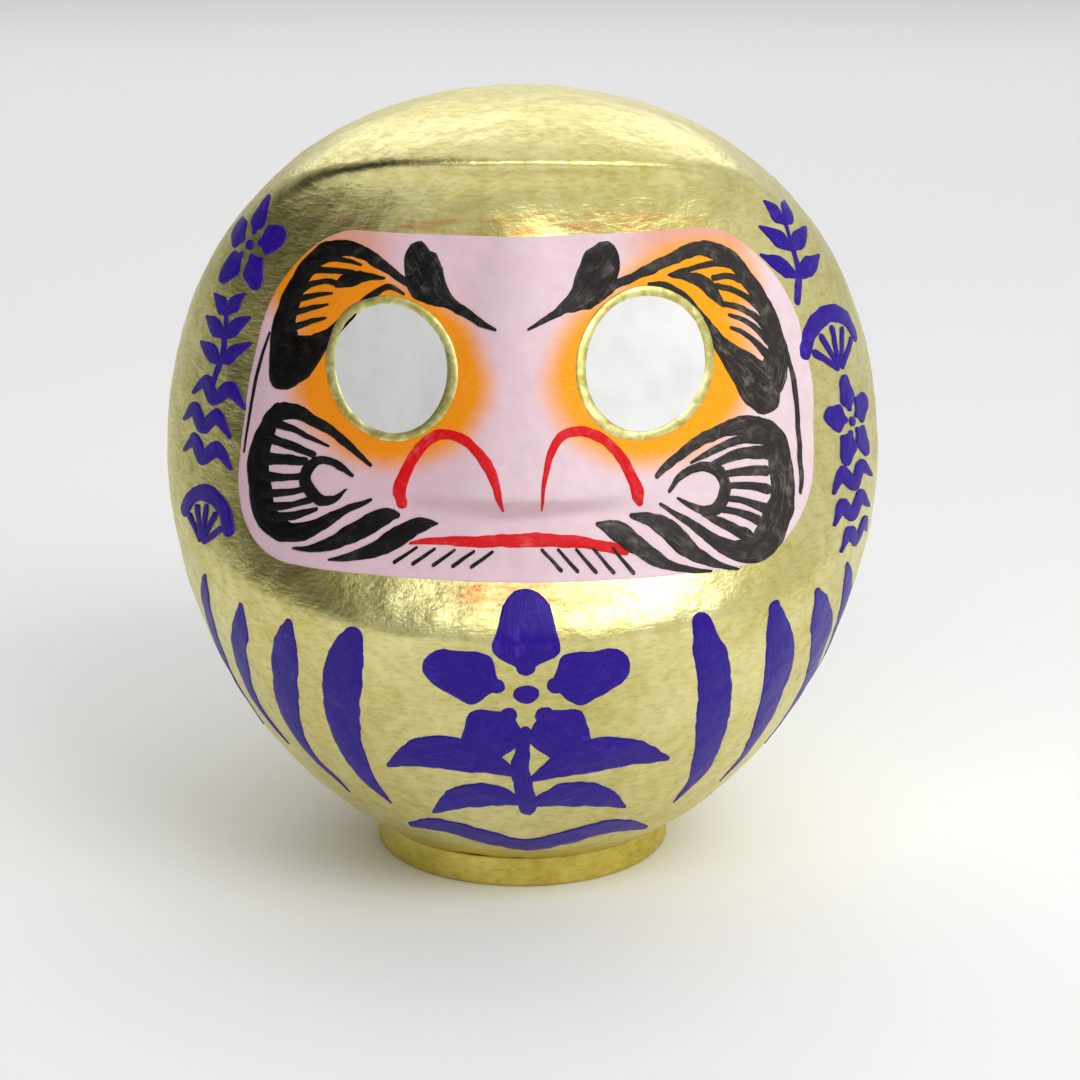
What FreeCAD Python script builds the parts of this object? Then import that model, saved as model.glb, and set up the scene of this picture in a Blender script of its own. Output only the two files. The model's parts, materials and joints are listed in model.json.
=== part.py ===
# Daruma doll: a hollow paper shell on a weighted clay foot. Millimetres.
# Origin: centre of the foot's underside. +Z up, the face looks towards -Y.
import FreeCAD, Part
import math
import os
import Sketcher
from FreeCAD import Vector

doc = FreeCAD.newDocument("daruma_doll")

SIZES = {
    # whole doll
    "doll_height": 240.0,
    "half_width": 110.0,
    "widest_level": 128.5,
    "lower_drop": 132.6,
    "back_flattening": 0.07,
    # how square each part of the body's curve is: 2 is an ellipse
    "crown_power": 2.15,
    "hood_power": 2.85,
    "belly_power": 1.92,
    # the sunk face: its surface turns about an upright axis behind the doll's
    "face_axis_back": 46.0,
    "hood_axis_back": 34.0,
    "hood_axis_level": 200.0,
    "face_radius": 67.0,
    "face_level": 212.0,
    "face_slope": 0.26,
    "hood_flare": 9.0,
    "hood_level": 229.0,
    "hood_reach": 5.5,
    "ledge_flare": 22.0,
    "ledge_level": 98.0,
    "ledge_reach": 11.0,
    "ridge_round": 4.0,
    "ledge_round": 13.0,
    # nose and lips
    "nose_top": 214.0,
    "nose_bottom": 131.0,
    "nose_top_width": 9.0,
    "nose_bottom_width": 31.0,
    "nose_top_rise": 2.5,
    "nose_bottom_rise": 9.5,
    "lip_level": 125.5,
    "lip_rise": 2.5,
    # paper
    "paper_wall": 2.0,
    "paint_thickness": 0.35,
    "shell_bottom": 7.0,
    "slit_width": 1.2,
    "slit_bottom": 42.0,
    "slit_top": 200.0,
    "strip_width": 16.0,
    "strip_overlap": 12.0,
    # painted face
    "panel_top": 207.7,
    "panel_bottom": 114.5,
    "panel_top_half": 66.0,
    "panel_middle_half": 82.5,
    "panel_bottom_half": 85.0,
    "panel_top_corner": 24.0,
    "panel_bottom_corner": 20.0,
    "panel_side_round": 100.0,
    "eye_half_spacing": 36.0,
    "eye_level": 171.0,
    "eye_white_radius": 17.2,
    "eye_ring_radius": 20.0,
    # foot
    "foot_radius": 46.6,
    "foot_height": 9.0,
    "foot_seat_radius": 45.4,
    "foot_ledge_radius": 42.2,
    "foot_bore_radius": 36.5,
    "foot_edge_round": 0.8,
    "clay_radius": 36.2,
    "clay_top": 17.0,
    "clay_top_round": 5.0,
    "disc_thickness": 1.6,
}

COLUMNS = 72
ROWS = 56
FRONT_CROWDING = 0.4
CROWN_FLAT = 0.1
FIT_ROUNDS = 8
PROBE = 0.05

sheet = doc.addObject("Spreadsheet::Sheet", "Sizes")
for row, (alias, value) in enumerate(SIZES.items(), start=1):
    sheet.set(f"A{row}", alias)
    sheet.set(f"B{row}", str(value))
    sheet.setAlias(f"B{row}", alias)
doc.recompute()


sheet_values = {alias: float(sheet.get(alias)) for alias in SIZES}


def size(alias):
    return sheet_values[alias]


# ---------------------------------------------------------------- the moulded form

def smoothstep(value):
    clamped = min(max(value, 0.0), 1.0)
    return clamped * clamped * (3.0 - 2.0 * clamped)


def body_radius(angle, level):
    """The plain round body, before the face is sunk into it. Angle 0 is the front."""
    widest = size("widest_level")
    front = max(math.cos(angle), 0.0)
    if level > widest:
        power = size("crown_power") + (size("hood_power") - size("crown_power")) * smoothstep(front)
        rise = (level - widest) / (size("doll_height") + CROWN_FLAT - widest)
    else:
        power = size("belly_power")
        rise = (widest - level) / size("lower_drop")
    radius = size("half_width") * max(1.0 - rise ** power, 0.0) ** (1.0 / power)
    if math.cos(angle) < 0.0:
        depth = 1.0 - size("back_flattening") * (1.0 - rise * rise)
        radius /= math.hypot(math.sin(angle), math.cos(angle) / depth)
    return radius


def face_radius(angle, level):
    """The sunk face: under the hood, down the brow, and out over the ledge below the chin."""
    reach = size("face_radius") + size("face_slope") * (size("face_level") - level)
    reach += size("hood_flare") * math.exp((level - size("hood_level")) / size("hood_reach"))
    reach += size("ledge_flare") * math.exp((size("ledge_level") - level) / size("ledge_reach"))
    back = size("face_axis_back")
    back += (size("hood_axis_back") - back) * smoothstep(0.5 + (level - size("hood_axis_level")) / 40.0)
    across = back * math.sin(angle)
    return math.sqrt(max((reach + back) ** 2 - across ** 2, 0.0)) - back * math.cos(angle)


def nose_rise(across, level):
    """A wedge that widens and stands out towards the nostrils, and stops in a step."""
    top = size("nose_top")
    bottom = size("nose_bottom")
    down = min(max((top - level) / (top - bottom), 0.0), 1.0)
    width = size("nose_top_width")
    width += (size("nose_bottom_width") - size("nose_top_width")) * down ** 1.3
    rise = size("nose_top_rise") + (size("nose_bottom_rise") - size("nose_top_rise")) * down
    step = smoothstep((level - bottom) / 8.0) * smoothstep((top + 8.0 - level) / 22.0)
    return rise * step * math.exp(-(abs(across) / width) ** 2.2)


def lip_rise(across, level):
    height = math.exp(-((level - size("lip_level")) / 6.0) ** 2)
    return size("lip_rise") * height * math.exp(-(across / 36.0) ** 2)


def moulded_radius(angle, level):
    """Body and sunk face, blended: a tight ridge under the hood, a soft ledge lower down."""
    body = body_radius(angle, level)
    if math.cos(angle) <= 0.0:
        return body
    face = face_radius(angle, level)
    across = math.sin(angle) * min(body, face)
    face += nose_rise(across, level) + lip_rise(across, level)
    blend = size("ridge_round")
    blend += (size("ledge_round") - blend) * smoothstep((size("face_level") - 2.0 - level) / 50.0)
    overlap = max(blend - abs(body - face), 0.0) / blend
    return min(body, face) - overlap * overlap * blend / 4.0


def moulded_point(angle, level):
    radius = moulded_radius(angle, level)
    return Vector(radius * math.sin(angle), -radius * math.cos(angle), level)


def offset_point(angle, level, offset):
    """The point at the given distance outside the moulded form, along its normal."""
    around = moulded_point(angle + PROBE / 50.0, level) - moulded_point(angle - PROBE / 50.0, level)
    upward = moulded_point(angle, level + PROBE) - moulded_point(angle, level - PROBE)
    normal = around.cross(upward).normalize()
    return moulded_point(angle, level) + normal * offset


def row_level(share, bottom):
    """Levels spread evenly along the side's curve, from the bottom row (0) to the top row (1)."""
    widest = size("widest_level")
    lowest = -math.asin(min((widest - bottom) / size("lower_drop"), 1.0))
    turn = lowest + (math.pi / 2.0 - lowest) * share
    if turn < 0.0:
        return widest + size("lower_drop") * math.sin(turn)
    return widest + (size("doll_height") - widest) * math.sin(turn)


def greville(row):
    """The parameter where a clamped cubic's pole has most hold on the surface."""
    knots = [min(max(row + step - 3, 0), ROWS - 3) for step in (1, 2, 3)]
    return sum(knots) / 3.0


def fitted_surface(targets):
    """A cubic surface, closed round the doll, moved until it passes through the targets."""
    poles = [list(column) for column in targets]
    round_knots = list(range(COLUMNS + 1))
    height_knots = list(range(ROWS - 2))
    height_mults = [4] + [1] * (ROWS - 4) + [4]
    surface = Part.BSplineSurface()
    for _ in range(FIT_ROUNDS):
        surface.buildFromPolesMultsKnots(
            poles, [1] * (COLUMNS + 1), height_mults, round_knots, height_knots, True, False, 3, 3)
        for column in range(COLUMNS):
            for row in range(ROWS):
                found = surface.value((column - 1) % COLUMNS, greville(row))
                poles[column][row] += targets[column][row] - found
    surface.buildFromPolesMultsKnots(
        poles, [1] * (COLUMNS + 1), height_mults, round_knots, height_knots, True, False, 3, 3)
    return surface


def moulded_solid(offset, bottom):
    """A closed solid of the moulded form, offset in or out, from a flat bottom to a flat crown spot."""
    top = size("doll_height")
    targets = []
    for column in range(COLUMNS):
        turn = 2.0 * math.pi * column / COLUMNS
        angle = turn - FRONT_CROWDING * math.sin(turn)
        points = []
        for row in range(ROWS):
            level = row_level(greville(row) / (ROWS - 3), bottom)
            points.append(offset_point(angle, level, offset))
        points[0].z = bottom
        points[-1].z = top + offset
        targets.append(points)
    side = fitted_surface(targets).toShape()
    rims = [edge for edge in side.Edges if edge.BoundBox.ZLength < 0.01]
    caps = [Part.Face(Part.Wire(edge)) for edge in rims]
    shell = Part.Shell([side] + caps)
    shell.sewShape()
    return Part.Solid(shell)


def moulded_feature(name, offset, bottom):
    feature = doc.addObject("Part::Feature", name)
    feature.Shape = moulded_solid(offset, bottom)
    return feature


# ---------------------------------------------------------------- document helpers

def body_plane(body, role):
    return next(plane for plane in body.Origin.OriginFeatures if plane.Role == role)


def new_sketch(body, role="XZ_Plane"):
    sketch = body.newObject("Sketcher::SketchObject", body.Name + "_sketch")
    sketch.AttachmentSupport = [(body_plane(body, role), "")]
    sketch.MapMode = "FlatFace"
    return sketch


def dimension(sketch, kind, expression, *where):
    """A driving dimension of a sketch, bound to an expression on the sheet."""
    value = sketch.evalExpression(expression)
    index = sketch.addConstraint(Sketcher.Constraint(kind, *where, value))
    sketch.setExpression(f"Constraints[{index}]", expression)


def closed_outline(sketch, corners):
    """Straight lines through corners, each corner a pair of expressions. "0" lies on that axis."""
    places = [Vector(*(sketch.evalExpression(term) for term in corner), 0) for corner in corners]
    for start, end in zip(places, places[1:] + places[:1]):
        sketch.addGeometry(Part.LineSegment(start, end))
    for line, (across, up) in enumerate(corners):
        before = (line - 1) % len(corners)
        sketch.addConstraint(Sketcher.Constraint("Coincident", before, 2, line, 1))
        for kind, axis, expression in (("DistanceX", -2, across), ("DistanceY", -1, up)):
            if expression == "0":
                sketch.addConstraint(Sketcher.Constraint("PointOnObject", line, 1, axis))
            else:
                dimension(sketch, kind, expression, -1, 1, line, 1)


def turned_body(label, corners):
    """A body turned about the doll's upright axis from an outline of (radius, level) corners."""
    body = doc.addObject("PartDesign::Body", label)
    sketch = new_sketch(body)
    closed_outline(sketch, corners)
    turned = body.newObject("PartDesign::Revolution", label + "_turned")
    turned.Profile = sketch
    turned.ReferenceAxis = (sketch, ["V_Axis"])
    turned.Angle = 360.0
    doc.recompute()
    return body


def round_edges(body, name, radius_alias, wanted):
    """Round the edges of the body's last feature that pass the test."""
    base = body.Tip
    names = [f"Edge{i}" for i, edge in enumerate(base.Shape.Edges, start=1) if wanted(edge)]
    fillet = body.newObject("PartDesign::Fillet", body.Name + "_" + name)
    fillet.Base = (base, names)
    fillet.setExpression("Radius", "Sizes." + radius_alias)
    doc.recompute()


def boolean(kind, label, base, tool):
    feature = doc.addObject("Part::" + kind, label)
    feature.Base = base
    feature.Tool = tool
    return feature


def box(name, **expressions):
    """A box with its width across X centred on the doll. Other sizes are expressions."""
    feature = doc.addObject("Part::Box", name)
    feature.setExpression("Length", expressions["across"])
    feature.setExpression("Width", "Sizes.half_width")
    feature.setExpression("Height", f"{expressions['top']} - ({expressions['bottom']})")
    feature.setExpression("Placement.Base.x", f"-({expressions['across']}) / 2")
    feature.setExpression("Placement.Base.y", "Sizes.half_width / 2")
    feature.setExpression("Placement.Base.z", expressions["bottom"])
    return feature


# ---------------------------------------------------------------- paper body

outer_form = moulded_feature("outer_form", 0.0, size("shell_bottom"))
inner_form = moulded_feature("inner_form", -size("paper_wall"), size("shell_bottom") - 3.0)
paint_form = moulded_feature("paint_form", size("paint_thickness"), size("shell_bottom"))

# The former comes out through a slit cut down the back, which a pasted strip then covers.
hollow_form = boolean("Cut", "hollow_form", outer_form, inner_form)
slit = box("slit", across="Sizes.slit_width", bottom="Sizes.slit_bottom", top="Sizes.slit_top")
body_shell = boolean("Cut", "body_shell", hollow_form, slit)

strip_window = box(
    "strip_window",
    across="Sizes.strip_width",
    bottom="Sizes.slit_bottom - Sizes.strip_overlap",
    top="Sizes.slit_top + Sizes.strip_overlap",
)
strip_block = boolean("Common", "strip_block", paint_form, strip_window)
back_seam_strip = boolean("Cut", "back_seam_strip", strip_block, outer_form)


# ---------------------------------------------------------------- painted face

def face_window():
    """A prism from the doll's axis out through the face, with the painted panel's outline."""
    body = doc.addObject("PartDesign::Body", "face_window")
    sketch = new_sketch(body)
    middle = "(Sizes.panel_top + Sizes.panel_bottom) / 2"
    right = [
        ("Sizes.panel_top_half", "Sizes.panel_top"),
        ("Sizes.panel_middle_half", middle),
        ("Sizes.panel_bottom_half", "Sizes.panel_bottom"),
    ]
    left = [("-" + across, up) for across, up in reversed(right)]
    closed_outline(sketch, right + left)
    pad = body.newObject("PartDesign::Pad", "face_window_pad")
    pad.Profile = sketch
    pad.setExpression("Length", "Sizes.half_width * 1.2")
    doc.recompute()
    corners = (
        ("top_corners", "panel_top_corner", size("panel_top")),
        ("sides", "panel_side_round", (size("panel_top") + size("panel_bottom")) / 2.0),
        ("bottom_corners", "panel_bottom_corner", size("panel_bottom")),
    )
    for name, radius_alias, level in corners:
        round_edges(body, name, radius_alias, lambda edge: runs_forward(edge, level))
    return body


def runs_forward(edge, level):
    bounds = edge.BoundBox
    return bounds.YLength > size("half_width") and bounds.ZLength < 0.01 and abs(bounds.ZMin - level) < 0.01


def eye_cylinder(name, side, radius_alias):
    """A cylinder along -Y through one eye. Side is -1 or 1 along X."""
    cylinder = doc.addObject("Part::Cylinder", name)
    cylinder.setExpression("Radius", "Sizes." + radius_alias)
    cylinder.setExpression("Height", "Sizes.half_width * 1.2")
    cylinder.Placement = FreeCAD.Placement(Vector(), FreeCAD.Rotation(Vector(1, 0, 0), 90))
    cylinder.setExpression("Placement.Base.x", f"{side} * Sizes.eye_half_spacing")
    cylinder.setExpression("Placement.Base.z", "Sizes.eye_level")
    return cylinder


face_block = boolean("Common", "face_block", paint_form, face_window())
face_layer = boolean("Cut", "face_layer", face_block, outer_form)
face_coat = face_layer
eyes = []
for side, word in ((-1, "left"), (1, "right")):
    white = eye_cylinder("eye_white_window_" + word, side, "eye_white_radius")
    outer = eye_cylinder("eye_window_" + word, side, "eye_ring_radius")
    ring = boolean("Cut", "eye_ring_window_" + word, outer, white)
    eyes.append(boolean("Common", "eye_white_" + word, face_layer, white))
    eyes.append(boolean("Common", "eye_ring_" + word, face_layer, ring))
    label = "face_coat" if word == "right" else "face_coat_one_eye"
    face_coat = boolean("Cut", label, face_coat, outer)


# ---------------------------------------------------------------- foot

foot_ring = turned_body("foot_ring", [
    ("Sizes.foot_bore_radius", "0"),
    ("Sizes.foot_radius", "0"),
    ("Sizes.foot_radius", "Sizes.foot_height"),
    ("Sizes.foot_seat_radius", "Sizes.foot_height"),
    ("Sizes.foot_ledge_radius", "Sizes.shell_bottom"),
    ("Sizes.foot_bore_radius", "Sizes.shell_bottom"),
])
round_edges(foot_ring, "edges", "foot_edge_round",
            lambda edge: abs(edge.BoundBox.XLength - 2.0 * size("foot_radius")) < 0.01
            and edge.BoundBox.ZLength < 0.01)

# The weight that rights the doll sits in the ring's bore and stands up into the paper body.
clay_weight = turned_body("clay_weight", [
    ("0", "Sizes.disc_thickness"),
    ("Sizes.clay_radius", "Sizes.disc_thickness"),
    ("Sizes.clay_radius", "Sizes.clay_top"),
    ("0", "Sizes.clay_top"),
])
round_edges(clay_weight, "top", "clay_top_round",
            lambda edge: edge.BoundBox.XLength > size("clay_radius")
            and abs(edge.BoundBox.ZMin - size("clay_top")) < 0.01)

base_disc = turned_body("base_disc", [
    ("0", "0"),
    ("Sizes.clay_radius", "0"),
    ("Sizes.clay_radius", "Sizes.disc_thickness"),
    ("0", "Sizes.disc_thickness"),
])

# ---------------------------------------------------------------- check and export

doc.recompute()
for item in doc.Objects:
    if {"Invalid", "Error"} & set(item.State):
        raise RuntimeError(f"{item.Label} did not build: {item.State}")

pieces = [body_shell, back_seam_strip, face_coat, *eyes, foot_ring, clay_weight, base_disc]
for piece in pieces:
    if piece.Shape.isNull() or not piece.Shape.isValid() or not piece.Shape.Solids:
        raise RuntimeError(f"{piece.Label} is not a valid solid")

os.makedirs("parts", exist_ok=True)
for piece in pieces:
    piece.Shape.exportStep(f"parts/{piece.Label}.step")
    print(f"{piece.Label}: {len(piece.Shape.Solids)} solid, {piece.Shape.Volume / 1000.0:.2f} cm3")
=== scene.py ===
import json
import math

import bpy
import numpy as np
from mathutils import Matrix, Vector

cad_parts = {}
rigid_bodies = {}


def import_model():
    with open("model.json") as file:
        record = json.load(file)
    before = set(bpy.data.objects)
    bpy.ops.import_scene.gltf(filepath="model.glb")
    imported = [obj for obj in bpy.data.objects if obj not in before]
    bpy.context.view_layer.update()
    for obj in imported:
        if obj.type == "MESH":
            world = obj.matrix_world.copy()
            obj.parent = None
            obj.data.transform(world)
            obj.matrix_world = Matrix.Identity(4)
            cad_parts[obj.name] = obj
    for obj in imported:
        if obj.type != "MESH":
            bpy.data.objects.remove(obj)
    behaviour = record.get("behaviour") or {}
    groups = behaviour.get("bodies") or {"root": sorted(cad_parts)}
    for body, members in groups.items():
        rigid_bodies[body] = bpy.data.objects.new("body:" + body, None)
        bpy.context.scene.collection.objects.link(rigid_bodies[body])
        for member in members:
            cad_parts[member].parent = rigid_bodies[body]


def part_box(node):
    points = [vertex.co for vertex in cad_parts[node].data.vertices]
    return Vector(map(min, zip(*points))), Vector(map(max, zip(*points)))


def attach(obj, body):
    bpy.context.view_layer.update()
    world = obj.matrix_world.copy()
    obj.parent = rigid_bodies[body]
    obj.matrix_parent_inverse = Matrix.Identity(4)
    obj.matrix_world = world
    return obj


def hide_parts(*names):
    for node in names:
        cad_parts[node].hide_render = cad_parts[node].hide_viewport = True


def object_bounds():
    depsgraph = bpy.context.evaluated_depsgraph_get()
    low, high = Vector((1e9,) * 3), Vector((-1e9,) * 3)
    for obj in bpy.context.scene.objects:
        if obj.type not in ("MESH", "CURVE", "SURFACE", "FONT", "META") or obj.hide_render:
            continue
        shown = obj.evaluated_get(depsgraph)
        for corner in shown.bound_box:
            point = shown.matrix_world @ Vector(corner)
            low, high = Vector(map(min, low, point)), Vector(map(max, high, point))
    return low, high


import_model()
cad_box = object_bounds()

MM = 0.001
HEIGHT = float(cad_box[1][2]) / MM
HALF_WIDTH = float(cad_box[1][0]) / MM
SHELL_BOTTOM = 7.0
SHELL_WALL = 2.0
UNROLL_RADIUS = 100.0
PAINT_DEPTH = 0.3
STROKE_STEP = 0.8
STROKE_EDGE_UNDER = 0.06
STROKE_UNDER = 0.4
SHEET_UNDER = -0.35


# ------------------------------------------------------------------ the moulded form

def smoothstep(value):
    clamped = np.clip(value, 0.0, 1.0)
    return clamped * clamped * (3.0 - 2.0 * clamped)


class MouldedForm:
    """The same rule as the CAD shell's: a round body with the face sunk into its front."""
    widest_level = 128.5
    lower_drop = 132.6
    back_flattening = 0.07
    crown_power = 2.15
    hood_power = 2.85
    belly_power = 1.92
    face_axis_back = 46.0
    hood_axis_back = 34.0
    hood_axis_level = 200.0
    hood_axis_span = 40.0
    face_radius = 67.0
    face_level = 212.0
    face_slope = 0.26
    hood_flare, hood_level, hood_reach = 9.0, 229.0, 5.5
    ledge_flare, ledge_level, ledge_reach = 22.0, 98.0, 11.0
    ridge_round, ledge_round = 4.0, 13.0
    round_level, round_span = 210.0, 50.0
    nose_top, nose_bottom = 214.0, 131.0
    nose_top_width, nose_bottom_width = 9.0, 31.0
    nose_top_rise, nose_bottom_rise = 2.5, 9.5
    nose_widening, nose_section = 1.3, 2.2
    nose_tip_span, nose_root_over, nose_root_span = 8.0, 8.0, 22.0
    lip_level, lip_rise, lip_height, lip_width = 125.5, 2.5, 6.0, 36.0

    def body(self, angle, level):
        front = np.clip(np.cos(angle), 0.0, 1.0)
        above = level > self.widest_level
        upper = self.crown_power + (self.hood_power - self.crown_power) * smoothstep(front)
        power = np.where(above, upper, self.belly_power)
        upper_rise = (level - self.widest_level) / (HEIGHT - self.widest_level)
        lower_rise = (self.widest_level - level) / self.lower_drop
        rise = np.clip(np.where(above, upper_rise, lower_rise), 0.0, 1.0)
        radius = HALF_WIDTH * np.clip(1.0 - rise ** power, 0.0, 1.0) ** (1.0 / power)
        depth = 1.0 - self.back_flattening * (1.0 - rise * rise)
        flattened = radius / np.hypot(np.sin(angle), np.cos(angle) / depth)
        return np.where(np.cos(angle) < 0.0, flattened, radius)

    def face(self, angle, level):
        forward = smoothstep(0.5 + (level - self.hood_axis_level) / self.hood_axis_span)
        back = self.face_axis_back + (self.hood_axis_back - self.face_axis_back) * forward
        reach = self.face_radius + self.face_slope * (self.face_level - level)
        reach = reach + self.hood_flare * np.exp((level - self.hood_level) / self.hood_reach)
        reach = reach + self.ledge_flare * np.exp((self.ledge_level - level) / self.ledge_reach)
        across = back * np.sin(angle)
        return np.sqrt(np.clip((reach + back) ** 2 - across ** 2, 0.0, None)) - back * np.cos(angle)

    def nose(self, across, level):
        down = np.clip((self.nose_top - level) / (self.nose_top - self.nose_bottom), 0.0, 1.0)
        widening = down ** self.nose_widening
        width = self.nose_top_width + (self.nose_bottom_width - self.nose_top_width) * widening
        rise = self.nose_top_rise + (self.nose_bottom_rise - self.nose_top_rise) * down
        tip = smoothstep((level - self.nose_bottom) / self.nose_tip_span)
        root = smoothstep((self.nose_top + self.nose_root_over - level) / self.nose_root_span)
        return rise * tip * root * np.exp(-(np.abs(across) / width) ** self.nose_section)

    def lips(self, across, level):
        height = np.exp(-((level - self.lip_level) / self.lip_height) ** 2)
        return self.lip_rise * height * np.exp(-(across / self.lip_width) ** 2)

    def radius(self, angle, level):
        body = self.body(angle, level)
        face = self.face(angle, level)
        across = np.sin(angle) * np.minimum(body, face)
        face = face + self.nose(across, level) + self.lips(across, level)
        face = np.where(np.cos(angle) <= 0.0, 2.0 * HALF_WIDTH, face)
        soft = smoothstep((self.round_level - level) / self.round_span)
        blend = self.ridge_round + (self.ledge_round - self.ridge_round) * soft
        overlap = np.clip(blend - np.abs(body - face), 0.0, None) / blend
        return np.minimum(body, face) - overlap * overlap * blend / 4.0

    def points(self, angle, level):
        radius = self.radius(angle, level)
        return np.stack([radius * np.sin(angle), -radius * np.cos(angle), level], -1)

    def arc(self, across, level):
        """The unrolled arc at which the front has this sideways place at this level."""
        angles = np.linspace(-1.4, 1.4, 800)
        places = self.points(angles, np.full_like(angles, level))[:, 0]
        return float(np.interp(across, places, angles)) * UNROLL_RADIUS


FORM = MouldedForm()


# ------------------------------------------------------------------ node trees

class Wire:
    """A node's socket. Arithmetic on it adds Math nodes to its tree."""

    def __init__(self, nodes, socket):
        self.nodes = nodes
        self.socket = socket

    def math(self, operation, *others):
        return self.nodes.node("ShaderNodeMath", {"operation": operation}, self, *others)

    def __add__(self, other):
        return self.math("ADD", other)

    def __sub__(self, other):
        return self.math("SUBTRACT", other)

    def __rsub__(self, other):
        return self.nodes.node("ShaderNodeMath", {"operation": "SUBTRACT"}, other, self)

    def __mul__(self, other):
        return self.math("MULTIPLY", other)

    def __truediv__(self, other):
        return self.math("DIVIDE", other)

    def __pow__(self, other):
        return self.math("POWER", other)

    __radd__ = __add__
    __rmul__ = __mul__

    def between(self, low, high):
        """0 at low and 1 at high, with a smooth rise. High may be the smaller."""
        return self.nodes.node("ShaderNodeMapRange", {"interpolation_type": "SMOOTHSTEP"}, self, low, high)


class Nodes:
    """A node tree under construction, for a material or for Geometry Nodes."""

    def __init__(self, tree):
        self.tree = tree

    def node(self, kind, settings=None, *places, out=0, **labels):
        """A node with its settings, then its sockets by place or by label, as the output asked for."""
        node = self.tree.nodes.new(kind)
        for name, value in (settings or {}).items():
            if name == "captured":
                for item, item_kind in value.items():
                    node.capture_items.new(item_kind, item)
            else:
                setattr(node, name, value)
        for place, value in enumerate(places):
            self.join(value, node.inputs[place])
        for label, value in labels.items():
            words = label.replace("_", " ").lower()
            self.join(value, next(s for s in node.inputs if s.enabled and s.name.lower() == words))
        if isinstance(out, tuple):
            return [Wire(self, node.outputs[each]) for each in out]
        return Wire(self, node.outputs[out]) if len(node.outputs) else node

    def join(self, value, socket):
        if isinstance(value, Wire):
            self.tree.links.new(value.socket, socket)
        else:
            socket.default_value = value

    def vector(self, operation, *places, **labels):
        return self.node("ShaderNodeVectorMath", {"operation": operation}, *places, **labels)

    def combine(self, x, y, z):
        return self.node("ShaderNodeCombineXYZ", None, x, y, z)

    def separate(self, vector):
        return self.node("ShaderNodeSeparateXYZ", None, vector, out=(0, 1, 2))

    def noise(self, place, scale, detail=3.0, stretch=None, **labels):
        if stretch is not None:
            place = self.vector("MULTIPLY", place, stretch)
        return self.node("ShaderNodeTexNoise", None, Vector=place, Scale=scale, Detail=detail, **labels)


class ShapeTree(Nodes):
    """A Geometry Nodes tree with named inputs."""

    def __init__(self, name, inputs):
        super().__init__(bpy.data.node_groups.new(name, "GeometryNodeTree"))
        self.tree.is_modifier = True
        self.ids = {}
        for label, (kind, default) in inputs.items():
            socket = self.tree.interface.new_socket(label, in_out="INPUT", socket_type="NodeSocket" + kind)
            self.ids[label] = socket.identifier
            if default is not None:
                socket.default_value = default
        self.tree.interface.new_socket("Geometry", in_out="OUTPUT", socket_type="NodeSocketGeometry")
        start = self.tree.nodes.new("NodeGroupInput")
        self.given = {label: Wire(self, start.outputs[label]) for label in inputs}
        self.position = self.node("GeometryNodeInputPosition")

    def finish(self, geometry):
        """Shades the geometry smooth, makes it real and gives it the tree's Finish."""
        smooth = self.node("GeometryNodeSetShadeSmooth", None, geometry)
        real = self.node("GeometryNodeRealizeInstances", None, smooth)
        finished = self.node("GeometryNodeSetMaterial", None, real, Material=self.given["Finish"])
        self.join(finished, self.tree.nodes.new("NodeGroupOutput").inputs[0])
        return self

    def land(self, flat, height):
        """Places on the skin for flat places (arc, level), lifted along the skin's normal by a height."""
        arc, level, _ = self.separate(flat)
        angle = arc / (UNROLL_RADIUS * MM)
        sine = angle.math("SINE")
        cosine = angle.math("COSINE")
        outside = 3.0 * HALF_WIDTH * MM
        start = self.combine(sine * outside, cosine * -outside, level)
        inwards = self.combine(sine * -1.0, cosine, 0.0)
        skin = self.node("GeometryNodeObjectInfo", {"transform_space": "ORIGINAL"}, self.given["Skin"],
                         out="Geometry")
        place, normal = self.node("GeometryNodeRaycast", {"data_type": "FLOAT"}, Target_Geometry=skin,
                                  Source_Position=start, Ray_Direction=inwards, Ray_Length=outside,
                                  out=("Hit Position", "Hit Normal"))
        return self.vector("ADD", place, self.vector("SCALE", normal, Scale=height))

    def made(self, name, source, **values):
        """The tree's result on a source object, as a plain mesh object at the origin."""
        modifier = source.modifiers.new(self.tree.name, "NODES")
        modifier.node_group = self.tree
        for label, value in values.items():
            modifier[self.ids[label.replace("_", " ")]] = value
        evaluated = source.evaluated_get(bpy.context.evaluated_depsgraph_get())
        mesh = bpy.data.meshes.new_from_object(evaluated)
        mesh.name = name
        bpy.data.objects.remove(source)
        piece = bpy.data.objects.new(name, mesh)
        bpy.context.scene.collection.objects.link(piece)
        return piece


def paper_tree():
    """Gives a smooth wall the unevenness of paper laid over a mould by hand."""
    tree = ShapeTree("laid_paper", {
        "Geometry": ("Geometry", None), "Swell": ("Float", 0.0006), "Swell scale": ("Float", 26.0),
        "Dents": ("Float", 0.0003), "Dent scale": ("Float", 95.0), "Finish": ("Material", None)})
    given = tree.given
    swell = tree.node("ShaderNodeTexNoise", {"normalize": False}, Vector=tree.position,
                      Scale=given["Swell scale"], Detail=1.0)
    dents = tree.node("ShaderNodeTexNoise", {"normalize": False}, Vector=tree.position,
                      Scale=given["Dent scale"], Detail=2.0)
    height = swell * given["Swell"] + dents * given["Dents"]
    _, _, level = tree.separate(tree.position)
    height = height * level.between(0.0, 9.0 * MM)
    normal = tree.node("GeometryNodeInputNormal")
    offset = tree.vector("SCALE", normal, Scale=height)
    laid = tree.node("GeometryNodeSetPosition", None, given["Geometry"], Offset=offset)
    return tree.finish(laid)


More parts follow.
